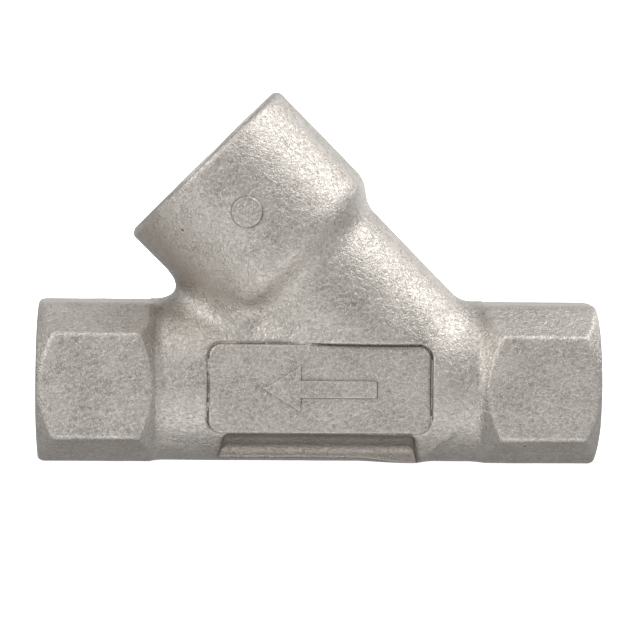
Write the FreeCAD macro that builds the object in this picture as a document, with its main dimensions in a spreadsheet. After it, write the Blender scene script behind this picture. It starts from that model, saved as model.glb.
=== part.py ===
import FreeCAD, Part
import math
import os
import re
import Sketcher
from FreeCAD import Placement, Rotation, Vector

# Y strainer for G 1/2 pipe ends: a cast body, a cylindrical screen in its slanted branch,
# a retaining plug that is screwed into the branch's mouth, and a drain plug in the middle of it.
# Millimetres. +Z is up, +X points to the inlet, and the branch leans towards the outlet at -X.
# The origin is in the middle of the flat underside. Pieces of the branch are drawn upright, with
# their heights measured along the branch's axis from the point where it meets the run's axis.

DIMENSIONS = {
    # run of the body
    "run_length": 85.0,
    "axis_height": 12.2,
    "barrel_radius": 12.45,
    "hex_flats": 27.0,
    "hex_length": 18.0,
    "hex_face_radius": 12.8,
    "hex_chamfer": 2.73,
    "hex_half_height": 12.15,
    "waterway_radius": 7.5,
    # branch of the body
    "branch_x": 15.9,
    "branch_angle": 45.0,
    "branch_root": -6.0,
    "root_radius": 9.5,
    "neck_radius": 13.2,
    "neck_top": 25.0,
    "socket_bottom": 28.4,
    "socket_radius": 15.7,
    "mouth_height": 47.45,
    "mouth_edge": 0.7,
    "seat_height": 9.0,
    "web_thickness": 2.4,
    "seat_radius": 6.9,
    "seat_bore_start": -2.0,
    "chamber_radius": 10.0,
    "ledge_height": 31.2,
    # pads, recesses and cast marks
    "pad_length": 33.4,
    "pad_height": 13.4,
    "pad_drop": 0.35,
    "pad_reach": 11.95,
    "pad_corner": 2.0,
    "recess_top_length": 28.6,
    "recess_foot_length": 31.0,
    "recess_drop": 7.4,
    "recess_inner": 5.0,
    "core_radius": 11.0,
    "arrow_length": 17.0,
    "arrow_head_length": 5.6,
    "arrow_head_width": 7.0,
    "arrow_shaft_width": 2.6,
    "mark_relief": 0.35,
    "boss_radius": 2.3,
    "boss_height": 37.7,
    "boss_side_shift": 0.8,
    # tapping bores of the two ends, at the minor radius of a G 1/2 thread
    "end_minor_radius": 9.3155,
    "end_bore_depth": 15.0,
    "end_entry_radius": 10.7,
    # G 3/4 thread of the mouth and its retaining plug
    "plug_pitch": 1.814,
    "plug_major_radius": 13.2205,
    "plug_minor_radius": 12.0585,
    "mouth_entry_radius": 13.5,
    "mouth_thread_end": 33.4,
    "undercut_radius": 13.4,
    "undercut_low": 32.2,
    "undercut_high": 35.3,
    "thread_ring_radius": 14.4,
    "plug_bottom": 32.7,
    "plug_top": 41.7,
    "plug_nose_outer": 9.7,
    "plug_nose_inner": 7.4,
    "plug_edge": 0.8,
    "pin_hole_radius": 1.5,
    "pin_hole_depth": 3.5,
    "pin_circle_radius": 9.6,
    # G 1/8 thread of the drain plug
    "drain_pitch": 0.907,
    "drain_major_radius": 4.864,
    "drain_minor_radius": 4.283,
    "drain_shank_length": 6.4,
    "drain_collar_radius": 7.0,
    "drain_collar_height": 3.0,
    "drain_collar_edge": 0.5,
    "drain_key_flats": 5.0,
    "drain_key_depth": 4.6,
    "drain_seal_radius": 6.75,
    "drain_seal_thickness": 1.0,
    # every thread
    "crest_width_ratio": 0.17,
    "ridge_root": 0.1,
    "plug_thread_play": 0.08,
    "drain_thread_play": 0.04,
    # screen and its rings
    "screen_radius": 8.6,
    "sheet_thickness": 0.5,
    "screen_foot": 10.0,
    "screen_top": 30.2,
    "mesh_radius": 8.08,
    "mesh_thickness": 0.3,
    "ring_bore_radius": 7.1,
    "ring_spigot_radius": 7.75,
    "ring_spigot_length": 2.0,
    "seat_ring_radius": 9.4,
    "collar_radius": 9.8,
    "hole_radius": 0.8,
    "hole_row_pitch": 2.4,
    # gasket under the retaining plug
    "gasket_inner_radius": 10.2,
    "gasket_outer_radius": 11.85,
}
HOLES_AROUND = 20
HOLE_ROWS = 7
PIN_HOLES = 4
BEYOND = 5.0

doc = FreeCAD.newDocument("y_strainer")
sheet = doc.addObject("Spreadsheet::Sheet", "Dimensions")
for row, (alias, value) in enumerate(DIMENSIONS.items(), start=1):
    sheet.set(f"A{row}", alias)
    sheet.set(f"B{row}", str(value))
    sheet.setAlias(f"B{row}", alias)
doc.recompute()


def cells(text):
    """A formula in the sheet's aliases, with the sheet's name put before each alias."""
    return re.sub(r"[a-z][a-z_0-9]*", lambda word: f"Dimensions.{word.group()}"
                  if word.group() in DIMENSIONS else word.group(), text)


def bind(obj, formulas):
    """Bind properties of an object to formulas."""
    for prop, text in formulas.items():
        obj.setExpression(prop, cells(text))
    return obj


def primitive(kind, name, formulas, base=None, rotation=None):
    """A Part primitive with bound sizes. base gives formulas for its place, and rotation its turn."""
    solid = doc.addObject(f"Part::{kind}", name)
    if rotation:
        solid.Placement = Placement(Vector(), rotation)
    bind(solid, formulas)
    return bind(solid, {f"Placement.Base.{axis}": text for axis, text in (base or {}).items()})


def outline(sketch, points):
    """A closed polygon through points given as pairs of formulas, each held by two bound distances."""
    places = [Vector(*(sheet.evalExpression(cells(text)) for text in point)) for point in points]
    last = len(points) - 1
    for index, place in enumerate(places):
        following = places[0] if index == last else places[index + 1]
        sketch.addGeometry(Part.LineSegment(place, following))
    for index in range(len(points)):
        following = 0 if index == last else index + 1
        sketch.addConstraint(Sketcher.Constraint("Coincident", index, 2, following, 1))
    for index, (point, place) in enumerate(zip(points, places)):
        for kind, text, value in (("DistanceX", point[0], place.x), ("DistanceY", point[1], place.y)):
            if text == "0":
                axis = -2 if kind == "DistanceX" else -1
                sketch.addConstraint(Sketcher.Constraint("PointOnObject", index, 1, axis))
            else:
                number = sketch.addConstraint(Sketcher.Constraint(kind, -1, 1, index, 1, value))
                sketch.setExpression(f"Constraints[{number}]", cells(text))


def origin_plane(body, role):
    """One of a body's own origin planes."""
    return next(feature for feature in body.Origin.OriginFeatures if feature.Role == role)


def turned(name, points):
    """A PartDesign body turned about its Z axis from an outline of radius and height formulas."""
    body = doc.addObject("PartDesign::Body", name)
    sketch = body.newObject("Sketcher::SketchObject", f"{name}_profile")
    sketch.AttachmentSupport = [(origin_plane(body, "XZ_Plane"), "")]
    sketch.MapMode = "FlatFace"
    outline(sketch, points)
    revolution = body.newObject("PartDesign::Revolution", f"{name}_revolution")
    revolution.Profile = sketch
    revolution.ReferenceAxis = (sketch, ["V_Axis"])
    revolution.Angle = 360.0
    doc.recompute()
    return body


def slab(name, points, reach):
    """A PartDesign body padded both ways along Y from an outline of X and Z formulas."""
    body = doc.addObject("PartDesign::Body", name)
    sketch = body.newObject("Sketcher::SketchObject", f"{name}_profile")
    sketch.AttachmentSupport = [(origin_plane(body, "XZ_Plane"), "")]
    sketch.MapMode = "FlatFace"
    outline(sketch, points)
    pad = body.newObject("PartDesign::Pad", f"{name}_pad")
    pad.Profile = sketch
    pad.Midplane = True
    bind(pad, {"Length": f"2 * ({reach})"})
    doc.recompute()
    return body


def fused(name, pieces):
    fusion = doc.addObject("Part::MultiFuse", name)
    fusion.Shapes = pieces
    return fusion


def shared(name, base, tool):
    common = doc.addObject("Part::Common", name)
    common.Base = base
    common.Tool = tool
    return common


def cut(name, base, tool):
    difference = doc.addObject("Part::Cut", name)
    difference.Base = base
    difference.Tool = tool
    return difference


def helix_ridge(name, pitch, low, length, inner, outer, foot, crest):
    """A trapezoid swept along a right-hand helix about Z, from radius inner to radius outer.

    foot and crest are its widths at those radii, and low is the height of its lower flank's foot.
    """
    helix = doc.addObject("Part::Helix", f"{name}_helix")
    bind(helix, {"Pitch": pitch, "Height": length, "Radius": inner, "Placement.Base.z": low})
    profile = doc.addObject("Sketcher::SketchObject", f"{name}_profile")
    profile.Placement = Placement(Vector(), Rotation(Vector(1, 0, 0), 90))
    bind(profile, {"Placement.Base.z": low})
    flank = f"(({foot}) - ({crest})) / 2"
    outline(profile, [(inner, "0"), (outer, flank), (outer, f"{flank} + {crest}"), (inner, foot)])
    sweep = doc.addObject("Part::Sweep", name)
    sweep.Sections = [profile]
    sweep.Spine = (helix, ["Edge1"])
    sweep.Solid = True
    sweep.Frenet = True
    return sweep


def groove_width(major, radius, pitch):
    """The width of a female thread's groove at a radius, with flanks 27.5 degrees from square."""
    return f"(crest_width_ratio * {pitch} + 2 * ({major} - ({radius})) * tan(27.5 deg))"


def female_thread(name, pitch, major, minor, low, high):
    """What a tap takes out beyond the tapping drill's radius, from height low to height high."""
    inner = f"({minor} - ridge_root)"
    ridge = helix_ridge(f"{name}_ridge", pitch, low, f"{high} - ({low})", inner, major,
                        groove_width(major, inner, pitch), f"crest_width_ratio * {pitch}")
    limit = primitive("Cylinder", f"{name}_limit", {"Radius": f"2 * {major}", "Height": high})
    return shared(name, ridge, limit)


def male_thread(name, pitch, major, minor, low, length, play):
    """An endless threaded rod, smaller than the female thread by the play on every side."""
    root = f"({minor} - {play})"
    inner = f"({root} - ridge_root)"
    crest = f"({major} - {play})"
    ridge = helix_ridge(f"{name}_ridge", pitch, low, length, inner, crest,
                        f"{groove_width(major, inner, pitch)} - 2 * {play}",
                        f"{groove_width(major, crest, pitch)} - 2 * {play}")
    core = primitive("Cylinder", f"{name}_core",
                     {"Radius": root, "Height": f"{length} + 4 * {pitch}"}, {"z": f"{low} - 2 * {pitch}"})
    return fused(name, [core, ridge])


def lean(piece):
    """Lay a piece that is drawn upright along the branch."""
    piece.Placement = Placement(Vector(), Rotation(Vector(0, 1, 0), -45))
    return bind(piece, {"Placement.Base.x": "branch_x", "Placement.Base.z": "axis_height",
                        "Placement.Rotation.Angle": "-branch_angle"})


ALONG_X = Rotation(Vector(0, 1, 0), 90)
AGAINST_X = Rotation(Vector(0, 1, 0), -90)
ALONG_Y = Rotation(Vector(1, 0, 0), -90)


# ---- strainer body: outside -------------------------------------------------------------------
def hexagon_end():
    """The spanner hexagon of the inlet, flats to front and back, turned to cones at both ends."""
    place = {"x": "run_length / 2 - hex_length", "z": "axis_height"}
    prism = primitive("Prism", "hex_prism", {"Circumradius": "hex_flats / sqrt(3)", "Height": "hex_length"},
                      place, ALONG_X)
    corner = "hex_flats / sqrt(3)"
    envelope = turned("hex_envelope", [
        ("0", "0"), ("hex_face_radius", "0"), (corner, "hex_chamfer"),
        (corner, "hex_length - hex_chamfer"), ("hex_face_radius", "hex_length"), ("0", "hex_length")])
    envelope.Placement = Placement(Vector(), ALONG_X)
    bind(envelope, {f"Placement.Base.{axis}": text for axis, text in place.items()})
    limit = primitive("Box", "hex_limit",
                      {"Length": "hex_length", "Width": "2 * hex_flats", "Height": "2 * hex_half_height"},
                      {"x": place["x"], "y": "-hex_flats", "z": "axis_height - hex_half_height"})
    return shared("inlet_hexagon", shared("hex_turned", prism, envelope), limit)


def mirrored(name, source):
    mirror = doc.addObject("Part::Mirroring", name)
    mirror.Source = source
    mirror.Normal = Vector(1, 0, 0)
    return mirror


def branch_outside():
    """The neck, the cone and the socket, with a rounded-off mouth edge and a tapering root."""
    return lean(turned("branch_outside", [
        ("0", "branch_root"), ("root_radius", "branch_root"), ("neck_radius", "0"),
        ("neck_radius", "neck_top"), ("socket_radius", "socket_bottom"),
        ("socket_radius", "mouth_height - mouth_edge"), ("socket_radius - mouth_edge", "mouth_height"),
        ("0", "mouth_height")]))


def pad_column():
    """The outline of the two flat pads, front and back, as one block through the body."""
    block = primitive("Box", "pad_block",
                      {"Length": "pad_length", "Width": "4 * pad_reach", "Height": "pad_height"},
                      {"x": "-pad_length / 2", "y": "-2 * pad_reach",
                       "z": "axis_height - pad_drop - pad_height / 2"})
    doc.recompute()
    column = doc.addObject("Part::Fillet", "pad_column")
    column.Base = block
    radius = DIMENSIONS["pad_corner"]
    column.Edges = [(number, radius, radius) for number, edge in enumerate(block.Shape.Edges, start=1)
                    if abs(edge.tangentAt(edge.FirstParameter).y) > 0.99]
    return column


def pad_layer(name, reach):
    """A block as long and as high as the body that reaches equally far to front and back."""
    return primitive("Box", name,
                     {"Length": "run_length", "Width": f"2 * {reach}", "Height": "2 * hex_flats"},
                     {"x": "-run_length / 2", "y": f"-{reach}", "z": "axis_height - hex_flats"})


def under_pad_recesses():
    """The pockets between each pad and the foot, down to the round core of the waterway."""
    drop = "(axis_height - recess_drop)"
    wedge = slab("recess_wedge", [
        ("-recess_top_length / 2", drop), ("-recess_foot_length / 2", "-1"),
        ("recess_foot_length / 2", "-1"), ("recess_top_length / 2", drop)], "2 * pad_reach")
    foot = pad_layer("foot_width", "recess_inner")
    core = primitive("Cylinder", "waterway_core", {"Radius": "core_radius", "Height": "run_length"},
                     {"x": "-run_length / 2", "z": "axis_height"}, ALONG_X)
    return cut("under_pad_recesses", wedge, fused("recess_keep", [foot, core]))


def flow_arrow():
    """A raised arrow on both pads that points from the inlet to the outlet."""
    tip = "-arrow_length / 2"
    neck = f"{tip} + arrow_head_length"
    shaft = "arrow_shaft_width / 2"
    head = "arrow_head_width / 2"
    axis = "(axis_height - pad_drop)"
    return slab("flow_arrow", [
        (tip, axis), (neck, f"{axis} - {head}"), (neck, f"{axis} - {shaft}"),
        ("arrow_length / 2", f"{axis} - {shaft}"), ("arrow_length / 2", f"{axis} + {shaft}"),
        (neck, f"{axis} + {shaft}"), (neck, f"{axis} + {head}")], "pad_reach + mark_relief")


def mark_boss():
    """A plain low round boss on the front of the socket."""
    rod = primitive("Cylinder", "boss_rod", {"Radius": "boss_radius", "Height": "2 * socket_radius"},
                    {"x": "-boss_side_shift", "z": "boss_height"}, Rotation(Vector(1, 0, 0), 90))
    skin = primitive("Cylinder", "boss_skin",
                     {"Radius": "socket_radius + mark_relief", "Height": "mouth_height"})
    return lean(shared("mark_boss", rod, skin))


def body_outside():
    barrel = primitive("Cylinder", "run_barrel",
                       {"Radius": "barrel_radius", "Height": "run_length - 2 * hex_length"},
                       {"x": "hex_length - run_length / 2", "z": "axis_height"}, ALONG_X)
    inlet_hexagon = hexagon_end()
    rough = fused("rough_body", [barrel, inlet_hexagon, mirrored("outlet_hexagon", inlet_hexagon),
                                 branch_outside()])
    column = pad_column()
    between_pads = pad_layer("between_pads", "pad_reach")
    faced = cut("faced_body", rough, cut("pad_clearing", column, between_pads))
    plates = shared("pad_plates", column, between_pads)
    padded = fused("padded_body", [faced, plates])
    relieved = cut("relieved_body", padded, under_pad_recesses())
    marked = fused("marked_body", [relieved, flow_arrow(), mark_boss()])
    above_ground = primitive("Box", "above_ground", {
        "Length": "run_length + 2", "Width": "4 * socket_radius", "Height": "2 * mouth_height"},
        {"x": "-run_length / 2 - 1", "y": "-2 * socket_radius"})
    return shared("body_outside", marked, above_ground)


# ---- strainer body: inside --------------------------------------------------------------------
def end_hole(name, rotation):
    """The tapping bore of one end, with heights measured outwards from the middle of the run."""
    face = "run_length / 2"
    drill_end = f"{face} - end_bore_depth"
    drill = turned(f"{name}_drill", [
        ("0", f"{drill_end} - {BEYOND}"), ("waterway_radius", f"{drill_end} - {BEYOND}"),
        ("waterway_radius", f"{drill_end} - end_minor_radius + waterway_radius"),
        ("end_minor_radius", drill_end),
        ("end_minor_radius", f"{face} - end_entry_radius + end_minor_radius"),
        ("end_entry_radius", face), ("end_entry_radius", f"{face} + 1"), ("0", f"{face} + 1")])
    drill.Placement = Placement(Vector(), rotation)
    return bind(drill, {"Placement.Base.z": "axis_height"})


def waterway(name, start, low, high):
    """A length of the run's waterway, kept between two heights along the branch's axis."""
    passage = primitive("Cylinder", f"{name}_drill", {"Radius": "waterway_radius", "Height": "run_length / 2"},
                        {"x": start, "z": "axis_height"}, ALONG_X)
    block = primitive("Box", f"{name}_block",
                      {"Length": "2 * run_length", "Width": "run_length", "Height": f"{high} - ({low})"},
                      {"x": "-run_length", "y": "-run_length / 2", "z": low})
    side = doc.addObject("Part::Compound", f"{name}_side")
    side.Links = [block]
    return shared(name, passage, lean(side))


def branch_hole():
    """The seat bore, the screen chamber, the gasket ledge, the thread's undercut and the mouth."""
    return lean(turned("branch_drill", [
        ("0", "seat_bore_start"), ("seat_radius", "seat_bore_start"), ("seat_radius", "seat_height"),
        ("chamber_radius", "seat_height"), ("chamber_radius", "ledge_height"),
        ("plug_minor_radius", "ledge_height"), ("plug_minor_radius", "undercut_low"),
        ("undercut_radius", "undercut_low"), ("undercut_radius", "undercut_high"),
        ("thread_ring_radius", "undercut_high"), ("thread_ring_radius", "mouth_height + 1"),
        ("0", "mouth_height + 1")]))


def mouth_thread():
    """The tapped part of the mouth, which is cut on its own and then joined to the casting.

    The thread is cut after the entry cone and before the bore that it runs into.
    """
    blank = primitive("Cylinder", "mouth_blank",
                      {"Radius": "thread_ring_radius", "Height": "mouth_height - undercut_high"},
                      {"z": "undercut_high"})
    tap = female_thread("mouth_tap", "plug_pitch", "plug_major_radius", "plug_minor_radius",
                       "mouth_thread_end", "mouth_height + 0.5")
    drill = primitive("Cylinder", "mouth_drill", {"Radius": "plug_minor_radius", "Height": "mouth_height"},
                      {"z": "ledge_height"})
    entry = primitive("Cone", "mouth_entry",
                      {"Radius1": "plug_minor_radius - 2", "Radius2": "mouth_entry_radius + 1",
                       "Height": "mouth_entry_radius - plug_minor_radius + 3"},
                      {"z": "mouth_height - mouth_entry_radius + plug_minor_radius - 2"})
    return lean(cut("mouth_thread", cut("mouth_tapped", cut("mouth_countersunk", blank, entry), tap), drill))


def strainer_body():
    """The casting, bored from its ends and its mouth, with the mouth's thread in place."""
    inlet_drill = end_hole("inlet", ALONG_X)
    outlet_drill = end_hole("outlet", AGAINST_X)
    inlet_way = waterway("inlet_way", "-run_length / 8", "-run_length", "seat_height - web_thickness")
    outlet_way = waterway("outlet_way", "-3 * run_length / 8", "seat_height", "run_length")
    tools = (branch_hole(), inlet_drill, outlet_drill, inlet_way, outlet_way)
    body = body_outside()
    for number, tool in enumerate(tools, start=1):
        body = cut(f"body_cut_{number}", body, tool)
    return fused("strainer_body", [body, mouth_thread()])


# ---- screen cartridge --------------------------------------------------------------------------
def tube(name, outer, thickness):
    """A plain tube between the foot and the top of the screen."""
    return turned(name, [
        (f"{outer} - {thickness}", "screen_foot"), (outer, "screen_foot"),
        (outer, "screen_top"), (f"{outer} - {thickness}", "screen_top")])


def screen_tube():
    """The perforated tube: rows of round holes, every second row turned by half a step."""
    sheet_tube = tube("screen_sheet", "screen_radius", "sheet_thickness")
    step = 360.0 / HOLES_AROUND
    pitch = DIMENSIONS["hole_row_pitch"]
    middle = (DIMENSIONS["screen_foot"] + DIMENSIONS["screen_top"]) / 2
    punches = []
    for hole_row in range(HOLE_ROWS):
        height = middle + (hole_row - (HOLE_ROWS - 1) / 2) * pitch
        for hole in range(HOLES_AROUND):
            angle = math.radians(step * (hole + hole_row % 2 / 2))
            outwards = Vector(math.cos(angle), math.sin(angle), 0)
            punches.append(Part.makeCylinder(
                DIMENSIONS["hole_radius"], 2 * DIMENSIONS["sheet_thickness"],
                outwards * (DIMENSIONS["screen_radius"] - 1.5 * DIMENSIONS["sheet_thickness"])
                + Vector(0, 0, height), outwards))
    holes = doc.addObject("Part::Feature", "screen_holes")
    holes.Shape = Part.makeCompound(punches)
    return lean(cut("screen_tube", sheet_tube, holes))


def screen_mesh():
    """The fine mesh that lines the tube, as a plain sleeve of the mesh's thickness."""
    return lean(tube("screen_mesh", "mesh_radius", "mesh_thickness"))


def seat_ring():
    """The foot ring of the screen: a flange on the seat, and a spigot inside the mesh."""
    return lean(turned("seat_ring", [
        ("ring_bore_radius", "seat_height"), ("seat_ring_radius", "seat_height"),
        ("seat_ring_radius", "screen_foot"), ("ring_spigot_radius", "screen_foot"),
        ("ring_spigot_radius", "screen_foot + ring_spigot_length"),
        ("ring_bore_radius", "screen_foot + ring_spigot_length")]))


def screen_collar():
    """The top ring of the screen, which centres it in the chamber."""
    return lean(turned("screen_collar", [
        ("ring_bore_radius", "screen_top - ring_spigot_length"),
        ("ring_spigot_radius", "screen_top - ring_spigot_length"),
        ("ring_spigot_radius", "screen_top"), ("collar_radius", "screen_top"),
        ("collar_radius", "ledge_height"), ("ring_bore_radius", "ledge_height")]))


def plug_gasket():
    """The flat ring on the body's ledge."""
    return lean(turned("plug_gasket", [
        ("gasket_inner_radius", "ledge_height"), ("gasket_outer_radius", "ledge_height"),
        ("gasket_outer_radius", "plug_bottom"), ("gasket_inner_radius", "plug_bottom")]))


# ---- plugs -------------------------------------------------------------------------------------
def retaining_plug():
    """The headless plug: a nose that holds the screen down, a thread and four pin-spanner holes."""
    clear_radius = "plug_major_radius + plug_edge"
    face_radius = "plug_major_radius - plug_edge"
    blank = turned("plug_blank", [
        ("0", "plug_bottom"), ("plug_nose_inner", "plug_bottom"), ("plug_nose_inner", "ledge_height"),
        ("plug_nose_outer", "ledge_height"), ("plug_nose_outer", "plug_bottom"),
        (face_radius, "plug_bottom"), (clear_radius, "plug_bottom + 2 * plug_edge"),
        (clear_radius, "plug_top - 2 * plug_edge"), (face_radius, "plug_top"), ("0", "plug_top")])
    rod = male_thread("plug_rod", "plug_pitch", "plug_major_radius", "plug_minor_radius",
                      "mouth_thread_end + plug_thread_play - 3 * plug_pitch", "9 * plug_pitch",
                      "plug_thread_play")
    drain_tap = female_thread("drain_tap", "drain_pitch", "drain_major_radius", "drain_minor_radius",
                              "plug_bottom - drain_pitch", "plug_top + drain_pitch")
    drain_drill = primitive("Cylinder", "drain_drill",
                            {"Radius": "drain_minor_radius", "Height": "plug_top"}, {"z": "drain_pitch"})
    tapped = cut("plug_drilled", cut("plug_tapped", blank, drain_tap), drain_drill)
    threaded = shared("plug_threaded", rod, tapped)
    pin_holes = []
    for number in range(PIN_HOLES):
        arm = Rotation(Vector(0, 0, 1), 360 * (number + 0.5) / PIN_HOLES).multVec(Vector(1, 0, 0))
        pin_holes.append(primitive(
            "Cylinder", f"pin_hole_{number + 1}",
            {"Radius": "pin_hole_radius", "Height": "2 * pin_hole_depth"},
            {"x": f"pin_circle_radius * {arm.x:.6f}", "y": f"pin_circle_radius * {arm.y:.6f}",
             "z": "plug_top - pin_hole_depth"}))
    return lean(cut("retaining_plug", threaded, fused("pin_holes", pin_holes)))


def drain_plug():
    """The small plug: a round collar with a hexagon socket, and a threaded shank."""
    seat = "plug_top + drain_seal_thickness"
    top = f"{seat} + drain_collar_height"
    low = f"{seat} - drain_shank_length"
    clear_radius = "drain_major_radius + drain_collar_edge"
    shank_blank = turned("drain_shank_blank", [
        ("0", low), ("drain_major_radius - drain_collar_edge", low),
        (clear_radius, f"{low} + 2 * drain_collar_edge"), (clear_radius, seat), ("0", seat)])
    rod = male_thread("drain_rod", "drain_pitch", "drain_major_radius", "drain_minor_radius",
                      "plug_bottom + 2 * drain_pitch + drain_thread_play", "9 * drain_pitch",
                      "drain_thread_play")
    collar = turned("drain_collar", [
        ("0", seat), ("drain_collar_radius", seat), ("drain_collar_radius", f"{top} - drain_collar_edge"),
        ("drain_collar_radius - drain_collar_edge", top), ("0", top)])
    shank = shared("drain_shank", rod, shank_blank)
    key = primitive("Prism", "drain_key",
                    {"Circumradius": "drain_key_flats / sqrt(3)", "Height": "2 * drain_key_depth"},
                    {"z": f"{top} - drain_key_depth"})
    return lean(cut("drain_plug", fused("drain_whole", [collar, shank]), key))


def drain_seal():
    """The sealing washer under the drain plug's collar."""
    top = "plug_top + drain_seal_thickness"
    inner = "drain_major_radius"
    return lean(turned("drain_seal", [
        (inner, "plug_top"), ("drain_seal_radius", "plug_top"), ("drain_seal_radius", top), (inner, top)]))


NODES = {
    "strainer_body": strainer_body,
    "seat_ring": seat_ring,
    "screen_tube": screen_tube,
    "screen_mesh": screen_mesh,
    "screen_collar": screen_collar,
    "plug_gasket": plug_gasket,
    "retaining_plug": retaining_plug,
    "drain_seal": drain_seal,
    "drain_plug": drain_plug,
}

pieces = {}
for node, make in NODES.items():
    pieces[node] = make()
    pieces[node].Label = node
doc.recompute()

failed = [obj.Label for obj in doc.Objects if "Invalid" in obj.State or "Error" in obj.State]
failed += [obj.Label for obj in doc.Objects
           if obj.TypeId == "Part::Cut" and obj.Shape.Volume > obj.Base.Shape.Volume - 0.1]
if failed:
    raise RuntimeError(f"these features failed: {failed}")
for node, piece in pieces.items():
    if piece.Shape.isNull() or not piece.Shape.isValid() or len(piece.Shape.Solids) != 1:
        raise RuntimeError(f"{node} is not one valid solid")

os.makedirs("parts", exist_ok=True)
for node, piece in pieces.items():
    piece.Shape.exportStep(f"parts/{node}.step")
    print(f"{node}: {piece.Shape.Volume:.1f} mm3")
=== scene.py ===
import math

import bmesh
import bpy
import numpy as np
from mathutils import Matrix, Vector


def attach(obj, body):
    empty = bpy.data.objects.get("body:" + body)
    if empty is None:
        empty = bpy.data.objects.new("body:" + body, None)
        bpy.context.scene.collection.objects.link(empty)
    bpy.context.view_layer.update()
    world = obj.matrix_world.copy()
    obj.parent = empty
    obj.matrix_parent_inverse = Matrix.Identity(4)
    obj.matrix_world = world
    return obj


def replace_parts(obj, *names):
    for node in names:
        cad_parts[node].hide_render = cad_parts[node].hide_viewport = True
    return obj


# The looks of the y strainer. Lengths are millimetres, in the frame's axes, until an object is made:
# +Z is up, +X points to the inlet, and the branch leans towards the outlet at -X.
# "Along" and "off" are the distances along the branch's axis and out from it, in the XZ plane.
MM = 0.001

AXIS_HEIGHT = 12.2
BRANCH_X = 15.9
HALF_RUN = 42.5
SLANT = math.sqrt(0.5)

BARREL_RADIUS = 12.45
HEX_START = 24.5
HEX_HALF_FLATS = 13.5
HEX_HALF_HEIGHT = 12.15
HEX_FACE_RADIUS = 12.8
HEX_CONE_SLOPE = 1.021
HEX_EDGE = 0.5
HEX_CONE_EDGE = 0.4
HEX_TRIM_EDGE = 0.7
HEX_ROOT_FILLET = 0.5
FACE_EDGE = 0.35
FLAT_EDGE = 0.15
WAVE_HEIGHT = 0.1

NECK_FOOT = -6.0
NECK_FOOT_RADIUS = 9.5
NECK_TAPER = 0.583
NECK_EDGE = 1.0
NECK_RADIUS = 13.2
NECK_TOP = 25.0
SHOULDER_ROUNDING = 0.8
SOCKET_START = 28.4
SOCKET_RADIUS = 15.7
MOUTH = 47.45
MOUTH_EDGE = 1.2
CROTCH_FILLET = 4.6
FAR_FILLET = 1.0
FILLET_SPREAD = 18

PAD_HALF_LENGTH = 16.7
PAD_HALF_HEIGHT = 6.7
PAD_CORNER = 2.0
PAD_DROP = 0.35
PAD_REACH = 11.95
PAD_GROOVE_WIDTH = 0.35
PAD_GROOVE_DEPTH = 0.14
PAD_EDGE = 0.35
PAD_SURROUND_EDGE = 0.5
PAD_INNER = 6
RECESS_DROP = 7.4
RECESS_HALF_LENGTH = 14.3
RECESS_WIDENING = 0.2
RECESS_INNER = 5.0
RECESS_ROOF_CORNER = 0.8
RECESS_INNER_CORNER = 0.5
RECESS_EDGE = 0.3
CORE_RADIUS = 11.0
CORE_CORNER = 0.9

MARK_RELIEF = 0.35
MARK_EDGE = 0.16
MARK_FILLET = 0.08
ARROW_INNER = 10
ARROW = [(-8.5, 0.0), (-2.9, -3.5), (-2.9, -1.3), (8.5, -1.3), (8.5, 1.3), (-2.9, 1.3), (-2.9, 3.5)]
BOSS_ALONG = 37.7
BOSS_OFF = -0.8
BOSS_RADIUS = 2.3
BOSS_INNER = 5

WATERWAY_RADIUS = 7.5
OUTLET_WAY_END = 10
HOLE_EDGE = 0.12
SEAT_RADIUS = 6.9
SEAT_BORE_START = -2.0
SEAT_HEIGHT = 9.0
WEB = 2.4
CHAMBER_RADIUS = 10.0
LEDGE = 31.2

PITCH = 1.814
END_MAJOR = 10.4775
END_MINOR = 9.3155
END_BORE_START = 27.5
END_THREAD_START = 28.3
END_ENTRY = 10.7
END_FACE_OUTER = 11.9
END_SLEEVE_RADIUS = 11.1
MOUTH_MAJOR = 13.2205
MOUTH_MINOR = 12.0585
MOUTH_THREAD_START = 32.7
MOUTH_GROOVE = 34.211
MOUTH_RELIEF_END = 35.3
MOUTH_RELIEF_RADIUS = 13.4
MOUTH_ENTRY = 13.5
MOUTH_FACE_OUTER = 14.85
MOUTH_SLEEVE_RADIUS = 13.95
POCKET_CLEARANCE = 0.15

MESH_RADIUS = 7.93
MESH_WIRE_RADIUS = 0.08
MESH_PITCH = 0.72
MESH_FOOT = 10.05
MESH_TOP = 30.15

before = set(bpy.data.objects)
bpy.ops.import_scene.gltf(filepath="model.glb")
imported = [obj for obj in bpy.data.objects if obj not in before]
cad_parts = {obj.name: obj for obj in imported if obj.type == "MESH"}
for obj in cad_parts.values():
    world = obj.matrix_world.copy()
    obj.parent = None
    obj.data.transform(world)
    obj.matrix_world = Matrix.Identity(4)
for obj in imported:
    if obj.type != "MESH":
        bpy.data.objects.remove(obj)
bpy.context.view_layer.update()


# ---- distance fields --------------------------------------------------------------------------
def join(a, b, radius):
    """Both solids, with a fillet where they meet."""
    return np.maximum(radius, np.minimum(a, b)) - np.hypot(
        np.maximum(radius - a, 0), np.maximum(radius - b, 0))


def meet(a, b, radius):
    """What two solids share, with a rounded edge."""
    return np.minimum(-radius, np.maximum(a, b)) + np.hypot(
        np.maximum(radius + a, 0), np.maximum(radius + b, 0))


def rounded_box(u, v, half_u, half_v, corner):
    """Signed distance to a rectangle with round corners."""
    across = np.abs(u) - half_u + corner
    up = np.abs(v) - half_v + corner
    return (np.hypot(np.maximum(across, 0), np.maximum(up, 0))
            + np.minimum(np.maximum(across, up), 0) - corner)


def pad_outline(x, z):
    """Signed distance to the pad's outline, seen from the front or the back."""
    return rounded_box(x, z + PAD_DROP, PAD_HALF_LENGTH, PAD_HALF_HEIGHT, PAD_CORNER)


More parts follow.
